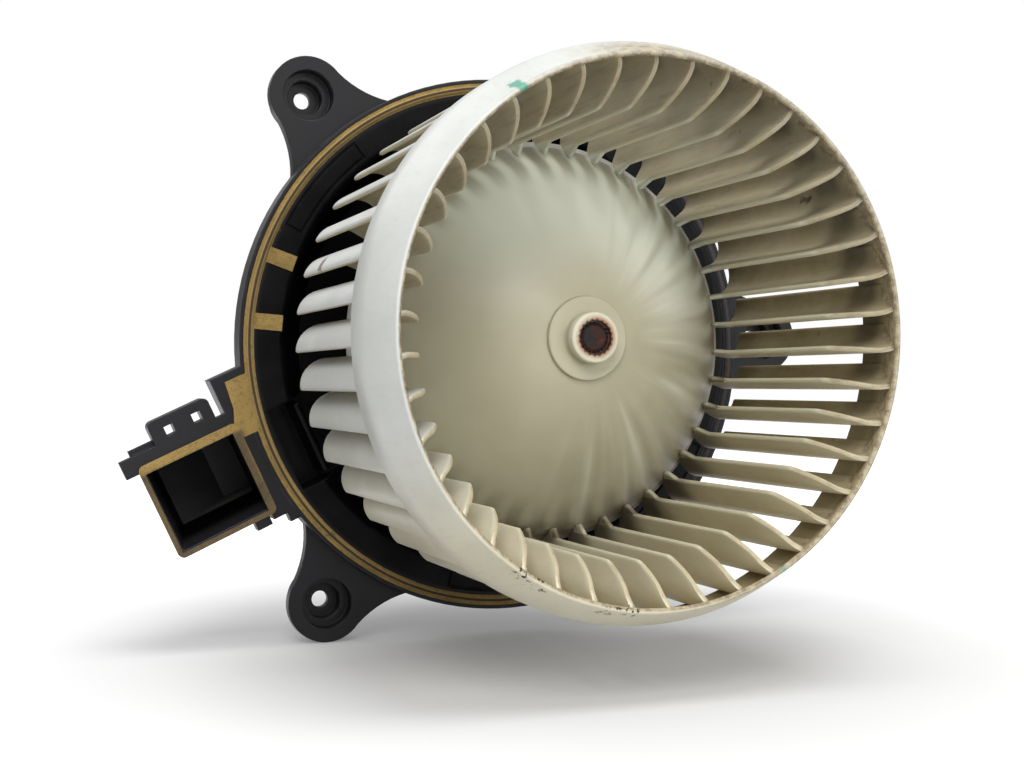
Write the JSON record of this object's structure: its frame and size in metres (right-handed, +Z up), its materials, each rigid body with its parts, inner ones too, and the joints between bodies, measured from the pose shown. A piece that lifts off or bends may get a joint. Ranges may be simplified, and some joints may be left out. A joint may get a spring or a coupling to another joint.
{
  "type": "cabin blower motor",
  "caption": "Car cabin blower: a forward-curved squirrel-cage wheel on a brushed motor, in a black mounting flange with screw ears, foam seal and cooling-air duct",
  "frame": {"origin": "on the motor's axis, in the plane of the flange's front face", "axes": "the motor's axis is Y, the wheel's air inlet faces -Y, +Z is up as in the picture and +X is to the right seen from the inlet"},
  "size_m": [0.2386, 0.1755, 0.1874],
  "materials": {
    "impeller_wheel": "moulded white plastic, dusty",
    "motor_shaft": "ground steel, rust on the exposed end",
    "armature_core": "stacked laminations",
    "armature_windings": "enamelled copper wire",
    "commutator": "turned copper bars",
    "front_thrust_washer": "moulded",
    "rear_thrust_washer": "moulded",
    "motor_can": "zinc-plated drawn steel",
    "end_cap": "zinc-plated pressed steel",
    "magnets": "sintered ferrite",
    "front_bushing": "oil-filled sintered bronze",
    "rear_bushing": "oil-filled sintered bronze",
    "brush_card": "moulded phenolic",
    "brush_boxes": "folded brass strip",
    "carbon_brushes": "pressed carbon",
    "brush_springs": "spring steel wire",
    "chokes": "enamelled copper wire on a ferrite rod",
    "terminals": "tinned brass strip",
    "front_isolator": "moulded rubber",
    "rear_isolator": "moulded rubber",
    "mounting_flange": "moulded black plastic, slightly satin",
    "flange_seal": "soft foam, gold-brown",
    "rear_housing": "moulded black plastic, slightly satin",
    "cover_screws": "zinc-plated"
  },
  "bodies": {
    "housing": {"mounting_flange": "mounting_flange", "flange_seal": "flange_seal", "rear_housing": "rear_housing", "cover_screws": "cover_screws", "front_isolator": "front_isolator", "rear_isolator": "rear_isolator", "motor_can": "motor_can", "end_cap": "end_cap", "magnets": "magnets", "front_bushing": "front_bushing", "rear_bushing": "rear_bushing", "brush_card": "brush_card", "brush_boxes": "brush_boxes", "carbon_brushes": "carbon_brushes", "brush_springs": "brush_springs", "chokes": "chokes", "terminals": "terminals"},
    "rotor": {"impeller_wheel": "impeller_wheel", "motor_shaft": "motor_shaft", "armature_core": "armature_core", "armature_windings": "armature_windings", "commutator": "commutator", "front_thrust_washer": "front_thrust_washer", "rear_thrust_washer": "rear_thrust_washer"}
  },
  "joints": [
    {"name": "wheel_spin", "type": "hinge", "parent": "housing", "child": "rotor", "pos_m": [0, 0, 0], "axis": [0, -1, 0], "continuous": true}
  ]
}
